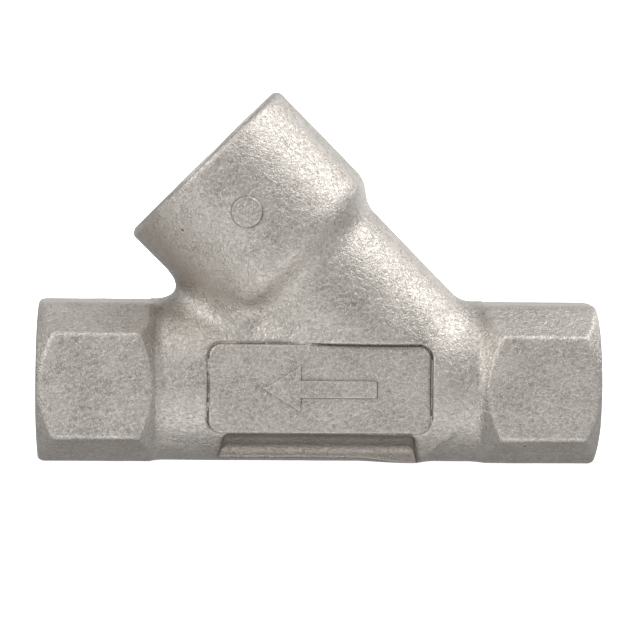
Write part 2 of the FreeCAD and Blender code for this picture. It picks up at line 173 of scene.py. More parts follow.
def polygon(u, v, outline):
    """Signed distance to a polygon in the plane."""
    nearest = np.full(u.shape, 1e9)
    inside = np.zeros(u.shape, bool)
    for (u0, v0), (u1, v1) in zip(outline, outline[1:] + outline[:1]):
        du, dv = u1 - u0, v1 - v0
        share = np.clip(((u - u0) * du + (v - v0) * dv) / (du * du + dv * dv), 0, 1)
        nearest = np.minimum(nearest, np.hypot(u - u0 - share * du, v - v0 - share * dv))
        if dv:
            spans = (v0 > v) != (v1 > v)
            inside ^= spans & (u < u0 + (v - v0) * du / dv)
    return np.where(inside, -nearest, nearest)


def cone(reach, at, start, start_radius, slope):
    """Inside of a cone whose radius grows by slope with the distance at from start."""
    return (reach - start_radius - slope * (at - start)) / math.hypot(1, slope)


def branch_coordinates(x, z):
    """The distances along and off the branch's axis."""
    along = (BRANCH_X - x + z) * SLANT
    off = (x - BRANCH_X + z) * SLANT
    return along, off


def waviness(x, y, z):
    """The slow unevenness of a cast skin, from 0 to 1."""
    rng = np.random.default_rng(7)
    total = 0
    for wavelength in (11, 9, 7.5, 6, 5, 4.2, 3.4, 2.8):
        direction = rng.normal(size=3)
        direction *= 2 * math.pi / (wavelength * np.linalg.norm(direction))
        phase = rng.uniform(0, 2 * math.pi)
        total = total + wavelength * np.sin(direction[0] * x + direction[1] * y + direction[2] * z + phase)
    return np.clip(0.5 + total / 60, 0, 1)


def hexagon_end(side, y, z, reach):
    """A spanner hexagon with a cone turned on both of its ends and its top and bottom trimmed."""
    prism = meet(np.abs(y) - HEX_HALF_FLATS,
                 0.5 * np.abs(y) + math.sqrt(0.75) * np.abs(z) - HEX_HALF_FLATS, HEX_EDGE)
    for at, start in ((-side, -HALF_RUN), (side, HEX_START)):
        prism = meet(prism, cone(reach, at, start, HEX_FACE_RADIUS, HEX_CONE_SLOPE), HEX_CONE_EDGE)
    prism = meet(prism, np.abs(z) - HEX_HALF_HEIGHT, HEX_TRIM_EDGE)
    return meet(np.maximum(prism, HEX_START - 0.3 - side), side - HALF_RUN, FACE_EDGE)


def branch_outside(along, reach):
    """The slanted neck, which widens from its foot, and the socket at its end."""
    neck = meet(reach - NECK_RADIUS, cone(reach, along, NECK_FOOT, NECK_FOOT_RADIUS, NECK_TAPER), NECK_EDGE)
    neck = np.maximum(neck, along - SOCKET_START - 2)
    shoulder = (SOCKET_RADIUS - NECK_RADIUS) / (SOCKET_START - NECK_TOP)
    socket = meet(reach - SOCKET_RADIUS, cone(reach, along, NECK_TOP, NECK_RADIUS, shoulder),
                  SHOULDER_ROUNDING)
    socket = meet(socket, along - MOUTH, MOUTH_EDGE)
    return join(np.maximum(neck, NECK_FOOT - along), socket, SHOULDER_ROUNDING)


def recess_field(x, y, z):
    """The two pockets under the pads, down to the round core and to the foot."""
    recess_side = np.abs(x) - RECESS_HALF_LENGTH + RECESS_WIDENING * (z + RECESS_DROP)
    recess = meet(z + RECESS_DROP, recess_side, RECESS_ROOF_CORNER)
    recess = meet(recess, RECESS_INNER - np.abs(y), RECESS_INNER_CORNER)
    return meet(recess, CORE_RADIUS - np.hypot(y, z), CORE_CORNER)


def outside(x, y, z):
    """The casting without its holes."""
    side = np.abs(x)
    reach = np.hypot(y, z)
    along, off = branch_coordinates(x, z)
    out = np.hypot(off, y)
    barrel = np.maximum(reach - BARREL_RADIUS, side - HEX_START - 1)
    run = join(barrel, hexagon_end(side, y, z, reach), HEX_ROOT_FILLET)
    blend = CROTCH_FILLET + (FAR_FILLET - CROTCH_FILLET) * np.clip(0.5 + off / FILLET_SPREAD, 0, 1)
    body = join(run, branch_outside(along, out), blend)
    body = body + WAVE_HEIGHT * waviness(x, y, z)

    column = pad_outline(x, z)
    depth = np.abs(y)
    body = meet(body, -np.maximum(column, PAD_REACH - depth), PAD_SURROUND_EDGE)
    groove = PAD_GROOVE_DEPTH * np.exp(-(column / PAD_GROOVE_WIDTH) ** 2)
    body = body + groove * (depth > PAD_INNER)
    pad = meet(column, depth - PAD_REACH, PAD_EDGE)
    body = np.minimum(body, np.maximum(pad, PAD_INNER - depth))

    body = meet(body, -recess_field(x, y, z), RECESS_EDGE)

    arrow = meet(polygon(x, z + PAD_DROP, ARROW), depth - PAD_REACH - MARK_RELIEF, MARK_EDGE)
    body = join(body, np.maximum(arrow, ARROW_INNER - depth), MARK_FILLET)
    boss = meet(np.hypot(along - BOSS_ALONG, off - BOSS_OFF) - BOSS_RADIUS,
                out - SOCKET_RADIUS - MARK_RELIEF, MARK_EDGE)
    body = join(body, np.maximum(boss, y + BOSS_INNER), MARK_FILLET)
    return meet(body, -z - AXIS_HEIGHT, FLAT_EDGE)


def bored(at, reach, steps):
    """A hole turned round an axis: steps are (start, end, radius at the start, radius growth)."""
    hole = np.full(at.shape, 1e3)
    for start, end, radius, slope in steps:
        part = np.maximum(cone(reach, at, start, radius, slope), np.maximum(start - at, at - end))
        hole = np.minimum(hole, part)
    return hole


def holes(x, y, z):
    """The waterways, the end bores, the screen's chamber and the mouth, with room for the sleeves."""
    side = np.abs(x)
    reach = np.hypot(y, z)
    along, off = branch_coordinates(x, z)
    out = np.hypot(off, y)
    way = reach - WATERWAY_RADIUS
    inlet = np.maximum(np.maximum(way, -x), along - (SEAT_HEIGHT - WEB))
    outlet = np.maximum(np.maximum(way, x - OUTLET_WAY_END), SEAT_HEIGHT - along)
    widening = END_BORE_START - END_MINOR + WATERWAY_RADIUS
    end = bored(side, reach, [
        (20, widening + 0.5, WATERWAY_RADIUS, 0), (widening, END_BORE_START + 0.1, WATERWAY_RADIUS, 1),
        (END_BORE_START, HALF_RUN, END_MINOR, 0),
        (END_THREAD_START - POCKET_CLEARANCE, HALF_RUN + 5, END_SLEEVE_RADIUS - POCKET_CLEARANCE, 0)])
    branch = bored(along, out, [
        (SEAT_BORE_START, SEAT_HEIGHT + 1, SEAT_RADIUS, 0), (SEAT_HEIGHT, LEDGE + 1, CHAMBER_RADIUS, 0),
        (LEDGE, MOUTH, MOUTH_MINOR, 0),
        (MOUTH_THREAD_START - POCKET_CLEARANCE, MOUTH + 5, MOUTH_SLEEVE_RADIUS - POCKET_CLEARANCE, 0)])
    return np.minimum(np.minimum(inlet, outlet), np.minimum(end, branch))


def casting(points):
    """Signed distance to the casting, at points in the frame."""
    x, y, z = points[..., 0], points[..., 1], points[..., 2] - AXIS_HEIGHT
    return meet(outside(x, y, z), -holes(x, y, z), HOLE_EDGE)


def slope_at(points, step):
    """The field's mean value and its gradient round each point."""
    value, gradient = 0, 0
    for corner in ((1, -1, -1), (-1, -1, 1), (-1, 1, -1), (1, 1, 1)):
        sample = casting(points + step * np.array(corner))
        value = value + sample / 4
        gradient = gradient + sample[:, None] * np.array(corner) / (4 * step)
    return value, gradient


# ---- surface of a field -----------------------------------------------------------------------
FULL_SPACING = 0.66
GRADIENT_STEP = 0.03
# HOLLOW_HEIGHTS are how far out from the surface the casting is probed for the painted shade in its
# hollows.
HOLLOW_HEIGHTS = (0.4, 1.0, 3.0)
EDGE_DEPTHS = (0.3, 0.7)
# How dark the painted shade is in the pockets under the pads.
RECESS_SHADE = 0.52
CELL = [np.array((a, b, c)) for a in (0, 1) for b in (0, 1) for c in (0, 1)]


def surface_net(field, low, spacing):
    """Triangles round the zero level of a field on a grid, with one point in each cell it crosses."""
    shape = np.array(field.shape) - 1

    def window(values, corner):
        return values[tuple(slice(c, c + n) for c, n in zip(corner, shape))]

    inside = field < 0
    filled = sum(window(inside, corner).astype(int) for corner in CELL)
    crossed = (filled > 0) & (filled < len(CELL))
    number = np.full(shape, -1)
    number[crossed] = np.arange(crossed.sum())
    values = np.stack([window(field, corner)[crossed] for corner in CELL])
    total = np.zeros((crossed.sum(), 3))
    count = np.zeros(crossed.sum())
    for a in range(len(CELL)):
        for b in range(a + 1, len(CELL)):
            if np.abs(CELL[a] - CELL[b]).sum() != 1:
                continue
            hit = (values[a] < 0) != (values[b] < 0)
            share = values[a] / np.where(hit, values[a] - values[b], 1)
            total += np.where(hit[:, None], CELL[a] + share[:, None] * (CELL[b] - CELL[a]), 0)
            count += hit
    points = low + spacing * (np.argwhere(crossed) + total / count[:, None])
    triangles = []
    for axis in range(3):
        u = np.eye(3, dtype=int)[(axis + 1) % 3]
        v = np.eye(3, dtype=int)[(axis + 2) % 3]
        first = [slice(1, -1)] * 3
        second = [slice(1, -1)] * 3
        first[axis], second[axis] = slice(0, -1), slice(1, None)
        start, end = inside[tuple(first)], inside[tuple(second)]
        edge = np.argwhere(start != end)
        leaving = start[tuple(edge.T)]
        edge = edge + 1 - np.eye(3, dtype=int)[axis]
        ring = np.stack([number[tuple((edge - shift).T)] for shift in (u + v, v, 0 * u, u)], axis=1)
        ring = np.where(leaving[:, None], ring, ring[:, ::-1])
        triangles += [ring[:, [0, 1, 2]], ring[:, [0, 2, 3]]]
    return points, np.concatenate(triangles)


def refine(points, triangles, wanted):
    """Split each wanted triangle in four, and its neighbours so that no edge is left open."""
    pairs = np.sort(np.stack([triangles, np.roll(triangles, -1, axis=1)], axis=2), axis=2).reshape(-1, 2)
    keys, edge_of = np.unique(pairs[:, 0] * len(points) + pairs[:, 1], return_inverse=True)
    edge_of = edge_of.reshape(-1, 3)
    edges = np.stack([keys // len(points), keys % len(points)], axis=1)
    split = np.zeros(len(edges), bool)
    split[edge_of[wanted]] = True
    while True:
        closing = split[edge_of].sum(axis=1) == 2
        if not closing.any():
            break
        split[edge_of[closing]] = True
    middle = np.full(len(edges), -1)
    middle[split] = len(points) + np.arange(split.sum())
    points = np.vstack([points, points[edges[split]].mean(axis=1)])
    middles = middle[edge_of]
    count = (middles >= 0).sum(axis=1)
    a, b, c = triangles[count == 3].T
    ab, bc, ca = middles[count == 3].T
    made = [triangles[count == 0]]
    made += [np.stack(t, axis=1) for t in ((a, ab, ca), (ab, b, bc), (ca, bc, c), (ab, bc, ca))]
    one = count == 1
    turn = np.argmax(middles[one] >= 0, axis=1)[:, None] + np.arange(3)
    a, b, c = triangles[one][np.arange(one.sum())[:, None], turn % 3].T
    half = middles[one].max(axis=1)
    made += [np.stack((a, half, c), axis=1), np.stack((half, b, c), axis=1)]
    return points, np.concatenate(made)


def settle(points, rounds):
    """Move points onto the casting's surface."""
    for _ in range(rounds):
        value, gradient = slope_at(points, GRADIENT_STEP)
        steep = np.maximum((gradient ** 2).sum(axis=1), 0.3)
        points = points - gradient * np.clip(value / steep, -0.4, 0.4)[:, None]
    return points


def detail_level(centres):
    """How many times the casting's triangles are split at these places: most in a narrow band along
    the pad's edge and the marks, and less along the mouth, the hexagons' edges and the pockets."""
    x, y, z = centres.T
    z = z - AXIS_HEIGHT
    side, depth, reach = np.abs(x), np.abs(y), np.hypot(y, z)
    along, off = branch_coordinates(x, z)
    out = np.hypot(off, y)
    column = pad_outline(x, z)
    pad_edge = (np.abs(column - 0.05) < 0.5) & (depth > 9.5)
    mark = (np.abs(polygon(x, z + PAD_DROP, ARROW)) < 0.45) & (depth > 11)
    boss = (np.abs(np.hypot(along - BOSS_ALONG, off - BOSS_OFF) - BOSS_RADIUS) < 0.5) & (y < -14)
    mouth = (along > MOUTH - 1.3) & (out > MOUTH_FACE_OUTER - 0.4)
    corner = np.abs(depth * math.sqrt(0.75) - np.abs(z) * 1.5)
    prism_edge = (side > HEX_START) & (corner < 0.9) & (depth > 12)
    cone_edge = (side > HEX_START - 0.4) & (np.minimum(
        np.abs(reach - HEX_FACE_RADIUS - HEX_CONE_SLOPE * (HALF_RUN - side)),
        np.abs(reach - HEX_FACE_RADIUS - HEX_CONE_SLOPE * (side - HEX_START))) < 0.7) & (reach > 11.7)
    recess = (z < -RECESS_DROP + 0.6) & (side < 16.5) & (np.abs(depth - 8) < 4)
    recess &= (np.abs(z + RECESS_DROP) < 0.6) | (np.abs(depth - RECESS_INNER) < 0.6) | (side > 13.6)
    level = (pad_edge | mark | boss).astype(int) * 2
    return np.maximum(level, (mouth | prism_edge | cone_edge | recess).astype(int))


def casting_mesh(spacing):
    """The casting's surface, finer along its edges and marks."""
    low = np.array([-HALF_RUN - 1.5, -SOCKET_RADIUS - 1.8, -1.2])
    high = np.array([HALF_RUN + 1.5, SOCKET_RADIUS + 1.8, 58.0])
    axes = [np.arange(a, b, spacing) for a, b in zip(low, high)]
    grid = np.stack(np.meshgrid(*axes, indexing="ij"), axis=-1)
    field = np.concatenate([casting(layer)[None] for layer in grid])
    points, triangles = surface_net(field, low, spacing)
    points = settle(points, 5)
    for level in (1, 2):
        wanted = detail_level(points[triangles].mean(axis=1)) >= level
        points, triangles = refine(points, triangles, wanted)
        points = settle(points, 3)
    return points, triangles


# ---- materials --------------------------------------------------------------------------------
class Shader:
    """A Principled material, with short calls for its nodes."""

    def __init__(self, name, **sockets):
        self.material = bpy.data.materials.new(name)
        self.material.use_nodes = True
        self.tree = self.material.node_tree
        self.surface = self.tree.nodes["Principled BSDF"]
        for socket, value in sockets.items():
            self.surface.inputs[socket.replace("_", " ")].default_value = value
        self.place = self.node("ShaderNodeTexCoord").outputs["Object"]

    def node(self, kind, inputs=(), **settings):
        made = self.tree.nodes.new(kind)
        for key, value in settings.items():
            setattr(made, key, value)
        for key, value in dict(inputs).items():
            if isinstance(value, bpy.types.NodeSocket):
                self.tree.links.new(value, made.inputs[key])
            else:
                made.inputs[key].default_value = value
        return made

    def scaled(self, size, rotation=(0, 0, 0), location=(0, 0, 0)):
        """Object coordinates with size millimetres to the unit."""
        return self.node("ShaderNodeMapping", {
            "Vector": self.place, "Scale": [1 / (s * MM) for s in size],
            "Rotation": rotation, "Location": location}).outputs[0]

    def noise(self, size, detail=2.0, distortion=0.0, roughness=0.5, **place):
        return self.node("ShaderNodeTexNoise", {
            "Vector": self.scaled(size, **place), "Scale": 1.0, "Detail": detail,
            "Roughness": roughness, "Distortion": distortion}).outputs["Fac"]

    def maths(self, operation, a, b=0.0, clamp=False):
        return self.node("ShaderNodeMath", {0: a, 1: b}, operation=operation, use_clamp=clamp).outputs[0]

    def fade(self, value, start, end, low=0.0, high=1.0):
        return self.node("ShaderNodeMapRange", {
            "Value": value, "From Min": start, "From Max": end, "To Min": low, "To Max": high}).outputs[0]

    def mixed(self, share, a, b):
        made = self.node("ShaderNodeMix", {0: share, 6: a, 7: b}, data_type="RGBA")
        return made.outputs[2]

    def bump(self, height, depth, under=None):
        """Bumps of a depth in millimetres, over other bumps."""
        inputs = {"Height": height, "Distance": depth * MM, "Strength": 1.0}
        if under is not None:
            inputs["Normal"] = under
        return self.node("ShaderNodeBump", inputs).outputs[0]

    def link(self, value, socket):
        self.tree.links.new(value, self.surface.inputs[socket])


def cast_material():
    """Blasted cast stainless steel: orange peel, a few pits, and painted shade tinted brown as grime in the
    hollows.
    """
    shader = Shader("cast_stainless", Metallic=1.0)
    peel = shader.noise((0.62, 0.62, 0.62), detail=3.0, distortion=1.3, roughness=0.62)
    grain = shader.noise((0.13, 0.13, 0.13), detail=2.0)
    patches = shader.noise((5.0, 5.0, 5.0), detail=3.0)
    grime_and_shade = shader.node("ShaderNodeAttribute", attribute_name="grime_and_shade").outputs["Fac"]
    edge = shader.node("ShaderNodeAttribute", attribute_name="edge").outputs["Fac"]
    pits = shader.node("ShaderNodeTexVoronoi", {"Vector": shader.scaled((5.5, 5.5, 5.5)), "Scale": 1.0})
    pit = shader.maths("MULTIPLY", shader.fade(pits.outputs["Distance"], 0.055, 0.02),
                       shader.maths("GREATER_THAN", pits.outputs["Color"], 0.62))
    rust_spots = shader.node("ShaderNodeTexVoronoi", {
        "Vector": shader.scaled((9.0, 9.0, 9.0), location=(3, 1, 2)), "Scale": 1.0})
    rust = shader.maths("MULTIPLY", shader.fade(rust_spots.outputs["Distance"], 0.06, 0.03),
                        shader.maths("GREATER_THAN", rust_spots.outputs["Color"], 0.7))
    tone = shader.maths("ADD", shader.maths("MULTIPLY", peel, 0.65),
                        shader.maths("MULTIPLY", patches, 0.35))
    colour = shader.mixed(shader.fade(tone, 0.3, 0.7), (0.45, 0.419, 0.384, 1), (0.76, 0.712, 0.658, 1))
    # Painted shade: hollows, creases and the pockets under the pads darken to dark brown, partly grime,
    # mostly shade.
    colour = shader.mixed(shader.fade(grime_and_shade, 0.14, 0.85), colour, (0.20, 0.165, 0.138, 1))
    colour = shader.mixed(shader.fade(edge, 0.25, 0.8), colour, (0.78, 0.76, 0.73, 1))
    colour = shader.mixed(rust, colour, (0.30, 0.12, 0.03, 1))
    # Pits painted near-black: painted shade inside each pore.
    colour = shader.mixed(pit, colour, (0.02, 0.017, 0.015, 1))
    shader.link(colour, "Base Color")
    shader.link(shader.fade(shader.maths("ADD", peel, patches), 0.7, 1.3, 0.24, 0.34), "Roughness")
    bumps = shader.bump(peel, 0.18)
    bumps = shader.bump(grain, 0.035, bumps)
    bumps = shader.bump(shader.maths("SUBTRACT", 1.0, pit), 0.12, bumps)
    shader.link(bumps, "Normal")
    return shader.material


def turned_material(name, slanted, tone=0.66, ring_pitch=0.16):
    """Turned stainless steel, with fine marks round the run's axis or round the branch's."""
    shader = Shader(name, Metallic=1.0)
    turn = (0, math.radians(45 if slanted else 90), 0)
    centre = Matrix.Rotation(turn[1], 3, "Y") @ Vector((BRANCH_X, 0, AXIS_HEIGHT))
    place = shader.scaled((1, 1, 1), rotation=turn, location=[-c for c in centre])
    split = shader.node("ShaderNodeSeparateXYZ", {"Vector": place}).outputs
    radius = shader.maths("SQRT", shader.maths("ADD", shader.maths("MULTIPLY", split[0], split[0]),
                                               shader.maths("MULTIPLY", split[1], split[1])))
    track = shader.maths("ADD", radius, split[2])
    marks = shader.maths("SINE", shader.maths("MULTIPLY", track, 2 * math.pi / ring_pitch))
    uneven = shader.noise((0.8, 0.8, 0.8), detail=3.0)
    fine = shader.noise((0.06, 0.06, 0.06), detail=2.0)
    colour = shader.mixed(shader.fade(uneven, 0.3, 0.7), (tone * 0.86, tone * 0.84, tone * 0.81, 1),
                          (tone, tone * 0.985, tone * 0.96, 1))
    shader.link(colour, "Base Color")
    shader.link(shader.fade(uneven, 0.3, 0.7, 0.24, 0.36), "Roughness")
    shader.link(shader.bump(fine, 0.004, shader.bump(marks, 0.003)), "Normal")
    return shader.material


def sheet_material():
    """Bright rolled sheet with fine rolling lines and a faint blue-grey stain."""
    shader = Shader("perforated_sheet", Metallic=1.0)
    lines = shader.noise((0.05, 1.5, 0.05), detail=3.0, rotation=(0, math.radians(45), 0))
    patches = shader.noise((3, 3, 3), detail=3.0)
    shader.link(shader.mixed(shader.fade(patches, 0.3, 0.7), (0.52, 0.53, 0.54, 1), (0.70, 0.70, 0.69, 1)),
                "Base Color")
    shader.link(shader.fade(lines, 0.3, 0.7, 0.22, 0.38), "Roughness")
    shader.link(shader.bump(lines, 0.006), "Normal")
    return shader.material


def wire_material():
    """Drawn stainless wire with a dull bloom."""
    shader = Shader("wire_mesh", Metallic=1.0)
    bloom = shader.noise((0.9, 0.9, 0.9), detail=3.0)
    shader.link(shader.mixed(shader.fade(bloom, 0.3, 0.7), (0.42, 0.41, 0.40, 1), (0.62, 0.61, 0.59, 1)),
                "Base Color")
    shader.link(shader.fade(bloom, 0.3, 0.7, 0.28, 0.45), "Roughness")
    shader.link(shader.bump(shader.noise((0.05, 0.05, 0.05)), 0.003), "Normal")
    return shader.material


def ptfe_material():
    """Waxy white sealing plastic, slightly marked by cutting."""
    shader = Shader("ptfe", Metallic=0.0, Subsurface_Weight=0.15, Subsurface_Scale=0.0006)
    cloud = shader.noise((1.4, 1.4, 1.4), detail=3.0)
    shader.link(shader.mixed(shader.fade(cloud, 0.3, 0.7), (0.74, 0.74, 0.71, 1), (0.87, 0.87, 0.85, 1)),
                "Base Color")
    shader.link(shader.fade(cloud, 0.3, 0.7, 0.38, 0.55), "Roughness")
    shader.link(shader.bump(shader.noise((0.1, 0.1, 0.1), detail=3.0), 0.006), "Normal")
    return shader.material


# ---- meshes -----------------------------------------------------------------------------------
def mesh_object(name, points, faces, material, body, normals=None, layers=()):
    """A piece from points in millimetres and faces of one size."""
    faces = np.asarray(faces)
    mesh = bpy.data.meshes.new(name)
    mesh.vertices.add(len(points))
    mesh.vertices.foreach_set("co", (np.asarray(points) * MM).astype(np.float32).ravel())
    mesh.loops.add(faces.size)
    mesh.loops.foreach_set("vertex_index", faces.astype(np.int32).ravel())
    mesh.polygons.add(len(faces))
    mesh.polygons.foreach_set("loop_start", np.arange(0, faces.size, faces.shape[1], dtype=np.int32))
    mesh.polygons.foreach_set("use_smooth", np.ones(len(faces), bool))
    mesh.update(calc_edges=True)
    mesh.validate()
    for layer, values in dict(layers).items():
        mesh.attributes.new(layer, "FLOAT", "POINT").data.foreach_set("value", values.astype(np.float32))
    if normals is not None:
        mesh.normals_split_custom_set_from_vertices(normals.tolist())
    mesh.materials.append(material)
    piece = bpy.data.objects.new(name, mesh)
    bpy.context.scene.collection.objects.link(piece)
    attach(piece, body)
    return piece


def merged(piece):
    """Merge the doubled points of a piece's seams and drop the faces that they leave empty."""
    work = bmesh.new()
    work.from_mesh(piece.data)
    bmesh.ops.remove_doubles(work, verts=work.verts, dist=0.0008 * MM)
    bmesh.ops.dissolve_degenerate(work, edges=work.edges, dist=0.0004 * MM)
    bmesh.ops.recalc_face_normals(work, faces=work.faces)
    work.to_mesh(piece.data)
    work.free()
    return piece


def run_place(direction):
    """Turned coordinates round the run's axis, with height towards +X or -X, to the frame."""
    def place(height, reach, angle):
        return np.stack([direction * height, direction * reach * np.cos(angle),
                         AXIS_HEIGHT + reach * np.sin(angle)], axis=-1)
    return place


def branch_place(height, reach, angle):
    """Turned coordinates round the branch's axis to the frame."""
    off = reach * np.cos(angle)
    return np.stack([BRANCH_X + (off - height) * SLANT, reach * np.sin(angle),
                     AXIS_HEIGHT + (off + height) * SLANT], axis=-1)


def threaded_sleeve(name, place, material, start, face, minor, major, entry, face_outer, sleeve,
                    groove, relief_end=0.0, relief_radius=0.0):
    """A tapped hole's wall with its turned face, closed behind by a sleeve inside the casting.

    groove is the height of a groove's middle at angle 0. The wall is plain and wide up to relief_end.
    """
    around = 120
    per_turn = 16
    collar = 0.4
    run_out_start = 0.4
    crest = 0.93
    first = math.floor((start - groove) / PITCH) - 1
    last = math.ceil((face - groove) / PITCH) + 1
    rows = np.arange(first * per_turn, last * per_turn + 1)
    angle = np.arange(around + 1) * 2 * math.pi / around
    height = groove + PITCH * (rows[:, None] / per_turn - 0.25 + angle / (2 * math.pi))
    phase = 2 * math.pi * rows / per_turn
    wave = (np.arcsin(crest * np.sin(phase)) / math.asin(crest))[:, None]
    height = np.clip(height, start, face)
    run_out = np.clip((height - start - run_out_start) / PITCH, 0, 1)
    profile = minor + (major - minor) * (0.5 + 0.5 * wave) * run_out * run_out * (3 - 2 * run_out)
    profile = np.where(height < relief_end, relief_radius, profile)
    reach = np.maximum(profile, entry - (face - height))
    foot = reach[0, 0]
    angles = np.broadcast_to(angle, height.shape)
    wall = place(height, reach, angles)
    rings = [wall]
    for ring_height, ring_reach in (
            (face, (entry + face_outer) / 2), (face, face_outer - 0.03), (face - 0.03, face_outer),
            (face - collar, face_outer), (face - collar, sleeve), (start, sleeve), (start, foot)):
        ring = place(np.full(angle.shape, ring_height), np.full(angle.shape, ring_reach), angle)
        rings.append(ring[None])
    points = np.concatenate(rings)
    row_count, column_count = points.shape[:2]
    index = np.arange(row_count * column_count).reshape(row_count, column_count)
    faces = np.stack([index[:-1, :-1], index[:-1, 1:], index[1:, 1:], index[1:, :-1]], axis=-1)
    return merged(mesh_object(name, points.reshape(-1, 3), faces.reshape(-1, 4), material,
                              "body"))


def wire(centres, sideways, outwards, closed):
    """A three-sided wire along points, as its points and faces."""
    sides = 3
    angle = np.arange(sides) * 2 * math.pi / sides
    ring = (sideways[:, None] * np.cos(angle)[:, None] + outwards[:, None] * np.sin(angle)[:, None])
    points = (centres[:, None] + MESH_WIRE_RADIUS * ring).reshape(-1, 3)
    count = len(centres)
    first = np.arange(count if closed else count - 1)[:, None]
    side = np.arange(sides)
    after = (first + 1) % count * sides
    faces = np.stack([first * sides + side, first * sides + (side + 1) % sides,
                      after + (side + 1) % sides, after + side], axis=-1).reshape(-1, 4)
    return points, faces


def woven_mesh(material):
    """The screen's fine mesh: rings and uprights that pass over and under each other."""
    uprights = int(2 * math.pi * MESH_RADIUS / MESH_PITCH / 2) * 2
    ring_count = int((MESH_TOP - MESH_FOOT) / MESH_PITCH)
    pitch = (MESH_TOP - MESH_FOOT - 2 * MESH_WIRE_RADIUS) / ring_count
    points, faces, total = [], [], 0

    def add(heights, angles, swing, closed):
        nonlocal total
        reach = MESH_RADIUS + 0.8 * MESH_WIRE_RADIUS * swing
        centres = branch_place(heights, reach, angles)
        outwards = branch_place(heights, reach + 1, angles) - centres
        ahead = np.gradient(centres, axis=0)
        sideways = np.cross(ahead, outwards)
        sideways /= np.linalg.norm(sideways, axis=1)[:, None]
        wire_points, wire_faces = wire(centres, sideways, outwards, closed)
        points.append(wire_points)
        faces.append(wire_faces + total)
        total += len(wire_points)

    for ring in range(ring_count + 1):
        angles = np.arange(2 * uprights) * math.pi / uprights
        swing = np.cos(uprights * angles + math.pi * ring)
        add(np.full(angles.shape, MESH_FOOT + MESH_WIRE_RADIUS + ring * pitch), angles, swing, True)
    for upright in range(uprights):
        steps = np.arange(2 * ring_count + 1) / 2
        swing = -np.cos(math.pi * (steps + upright))
        add(MESH_FOOT + MESH_WIRE_RADIUS + steps * pitch,
            np.full(steps.shape, upright * 2 * math.pi / uprights), swing, False)
    return mesh_object("screen_weave", np.concatenate(points), np.concatenate(faces), material,
                       "screen_cartridge")


def cast_skin(material):
    """The visible casting, which holds for its material how sheltered each point is, for painted shade, and
    how sharp it is.
    """
    points, triangles = casting_mesh(FULL_SPACING)
    _, normals = slope_at(points, GRADIENT_STEP)
    normals /= np.linalg.norm(normals, axis=1)[:, None]
    grime_and_shade, edge = 0, 0
    # Painted shade: the nearer the casting lies above a point, the darker its colour, with a brown grime
    # tint.
    for height in HOLLOW_HEIGHTS:
        share = np.clip(1 - casting(points + height * normals) / height, 0, 1)
        grime_and_shade = grime_and_shade + share / len(HOLLOW_HEIGHTS)
    for depth in EDGE_DEPTHS:
        share = np.clip(1 + casting(points - depth * normals) / depth, 0, 1)
        edge = edge + share / len(EDGE_DEPTHS)
    # The pockets under the pads, and a narrow band round them, get painted shade.
    sheltered = recess_field(points[:, 0], points[:, 1], points[:, 2] - AXIS_HEIGHT)
    grime_and_shade = np.maximum(grime_and_shade, np.clip(RECESS_SHADE - 0.5 * sheltered, 0, RECESS_SHADE))
    skin = mesh_object("cast_skin", points, triangles, material, "body",
                       normals, {"grime_and_shade": grime_and_shade, "edge": edge})
    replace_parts(skin, "strainer_body")


# ---- pieces -----------------------------------------------------------------------------------
cast_steel = cast_material()
run_turned = turned_material("turned_round_run", slanted=False)
branch_turned = turned_material("turned_round_branch", slanted=True)

cast_skin(cast_steel)
for end, direction in (("inlet", 1), ("outlet", -1)):
    threaded_sleeve(f"{end}_thread", run_place(direction), run_turned,
                    start=END_THREAD_START, face=HALF_RUN, minor=END_MINOR, major=END_MAJOR,
                    entry=END_ENTRY, face_outer=END_FACE_OUTER, sleeve=END_SLEEVE_RADIUS,
                    groove=END_THREAD_START)
threaded_sleeve("mouth_thread", branch_place, branch_turned,
                start=MOUTH_THREAD_START, face=MOUTH, minor=MOUTH_MINOR, major=MOUTH_MAJOR,
                entry=MOUTH_ENTRY, face_outer=MOUTH_FACE_OUTER, sleeve=MOUTH_SLEEVE_RADIUS,
                groove=MOUTH_GROOVE, relief_end=MOUTH_RELIEF_END, relief_radius=MOUTH_RELIEF_RADIUS)
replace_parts(woven_mesh(wire_material()), "screen_mesh")

NODE_MATERIALS = {
    "seat_ring": branch_turned,
    "screen_collar": branch_turned,
    "retaining_plug": branch_turned,
    "drain_plug": turned_material("turned_drain_plug", slanted=True, tone=0.72, ring_pitch=0.11),
    "screen_tube": sheet_material(),
    "plug_gasket": ptfe_material(),
}
NODE_MATERIALS["drain_seal"] = NODE_MATERIALS["plug_gasket"]
for node, material in NODE_MATERIALS.items():
    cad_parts[node].data.materials.clear()
    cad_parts[node].data.materials.append(material)


# ---- studio -----------------------------------------------------------------------------------
FLOOR_REACH = 3.0
FLOOR_GAP = 0.00002
FLOOR_GLOW = 0.9
CURVE_START = 1.2
CURVE_RADIUS = 0.8

# Each glow is (azimuth, elevation, sharpness, strength). A negative strength is a dark area.
ROOM_LEVEL = 0.44
DARKEST = 0.03
GLOWS = [
    (93, 48, 40, 6.0), (90, 45, 5, 0.4),     # key light, over the inlet's end, and its spill
    (-62, 30, 24, 3.2), (-40, 12, 40, 1.2),  # fill from the outlet's side
    (-20, -48, 24, 2.2), (48, -38, 16, 1.1),  # from below, as a pale floor throws light up
    (0, 72, 30, 2.2),                        # overhead
    (150, 5, 30, 1.0), (180, 25, 10, 0.35),  # from behind
    (180, -50, 5, -0.12),                    # the dark under the back
]


